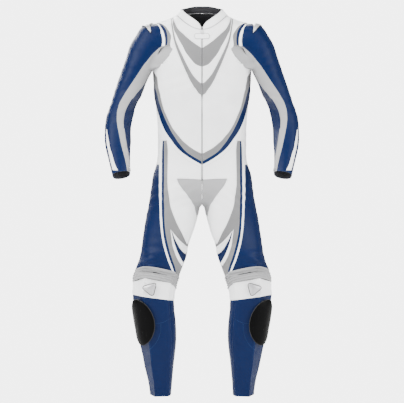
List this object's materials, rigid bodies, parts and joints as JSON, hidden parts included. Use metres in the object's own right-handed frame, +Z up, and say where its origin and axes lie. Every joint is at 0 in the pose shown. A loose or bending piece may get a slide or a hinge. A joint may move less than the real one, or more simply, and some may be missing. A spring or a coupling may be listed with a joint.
{
  "type": "motorcycle race suit",
  "caption": "One-piece leather race suit, filled out and hollow, with stand collar, front zip, ribbed stretch knees, moulded cups and knee sliders.",
  "frame": {"origin": "inside the base of the neck, midway between the shoulders, where the wearer's shoulders carry the suit", "axes": "+Z up, +X towards the wearer's left, +Y towards the wearer's back; the front faces -Y"},
  "size_m": [0.7178, 0.2505, 1.4453],
  "materials": {
    "white_leather": "smooth satin cowhide",
    "blue_leather": "smooth satin cowhide",
    "grey_leather": "smooth satin cowhide",
    "stretch_fabric": "matte ribbed aramid stretch",
    "slider_plastic": "moulded puck",
    "cup_plastic": "silver-grey moulded cup",
    "zip_metal": "zip teeth and sliders"
  },
  "bodies": {
    "root": {"chest_top_L": "white_leather", "chest_top_R": "white_leather", "chest_middle_L": "white_leather", "chest_middle_R": "white_leather", "chest_main_L": "white_leather", "chest_main_R": "white_leather", "thigh_front_L": "white_leather", "thigh_front_R": "white_leather", "stripe_white_L": "white_leather", "stripe_white_R": "white_leather", "seat_L": "white_leather", "seat_R": "white_leather", "knee_panel_L": "white_leather", "knee_panel_R": "white_leather", "oval_blue_L": "blue_leather", "oval_blue_R": "blue_leather", "stripe_blue_L": "blue_leather", "stripe_blue_R": "blue_leather", "thigh_outer_L": "blue_leather", "thigh_outer_R": "blue_leather", "shin_L": "blue_leather", "shin_R": "blue_leather", "calf_L": "blue_leather", "calf_R": "blue_leather", "sleeve_inner_L": "blue_leather", "sleeve_inner_R": "blue_leather", "sleeve_outer_L": "blue_leather", "sleeve_outer_R": "blue_leather", "chevron_wide_L": "grey_leather", "chevron_wide_R": "grey_leather", "chevron_thin_L": "grey_leather", "chevron_thin_R": "grey_leather", "oval_grey_L": "grey_leather", "oval_grey_R": "grey_leather", "stripe_grey_L": "grey_leather", "stripe_grey_R": "grey_leather", "shoulder_band_L": "grey_leather", "shoulder_band_R": "grey_leather", "crotch_L": "stretch_fabric", "crotch_R": "stretch_fabric", "knee_ribs_L": "stretch_fabric", "knee_ribs_R": "stretch_fabric", "sleeve_stretch_L": "stretch_fabric", "sleeve_stretch_R": "stretch_fabric", "knee_slider_L": "slider_plastic", "knee_slider_R": "slider_plastic", "shoulder_cup_L": "cup_plastic", "shoulder_cup_R": "cup_plastic", "knee_cup_L": "cup_plastic", "knee_cup_R": "cup_plastic", "cuff_slider_L": "zip_metal", "cuff_slider_R": "zip_metal", "back": "white_leather", "collar": "white_leather", "stay_tab": "white_leather", "zip_tape": "zip_metal", "zip_slider": "zip_metal"},
    "zip_pull": {"zip_pull": "zip_metal"},
    "cuff_pull_L": {"cuff_pull_L": "zip_metal"},
    "cuff_pull_R": {"cuff_pull_R": "zip_metal"}
  },
  "joints": [
    {"name": "zip_pull_hinge", "type": "hinge", "parent": "root", "child": "zip_pull", "pos_m": [0, -0.09168, -0.0399], "axis": [-1, 0, 0], "range_deg": [0, 140]},
    {"name": "cuff_pull_L_hinge", "type": "hinge", "parent": "root", "child": "cuff_pull_L", "pos_m": [0.26643, -0.09697, -0.5473], "axis": [-0.3612, 0.9325, 0], "range_deg": [0, 140]},
    {"name": "cuff_pull_R_hinge", "type": "hinge", "parent": "root", "child": "cuff_pull_R", "pos_m": [-0.26643, -0.09697, -0.5473], "axis": [-0.3612, -0.9325, 0], "range_deg": [0, 140]}
  ]
}
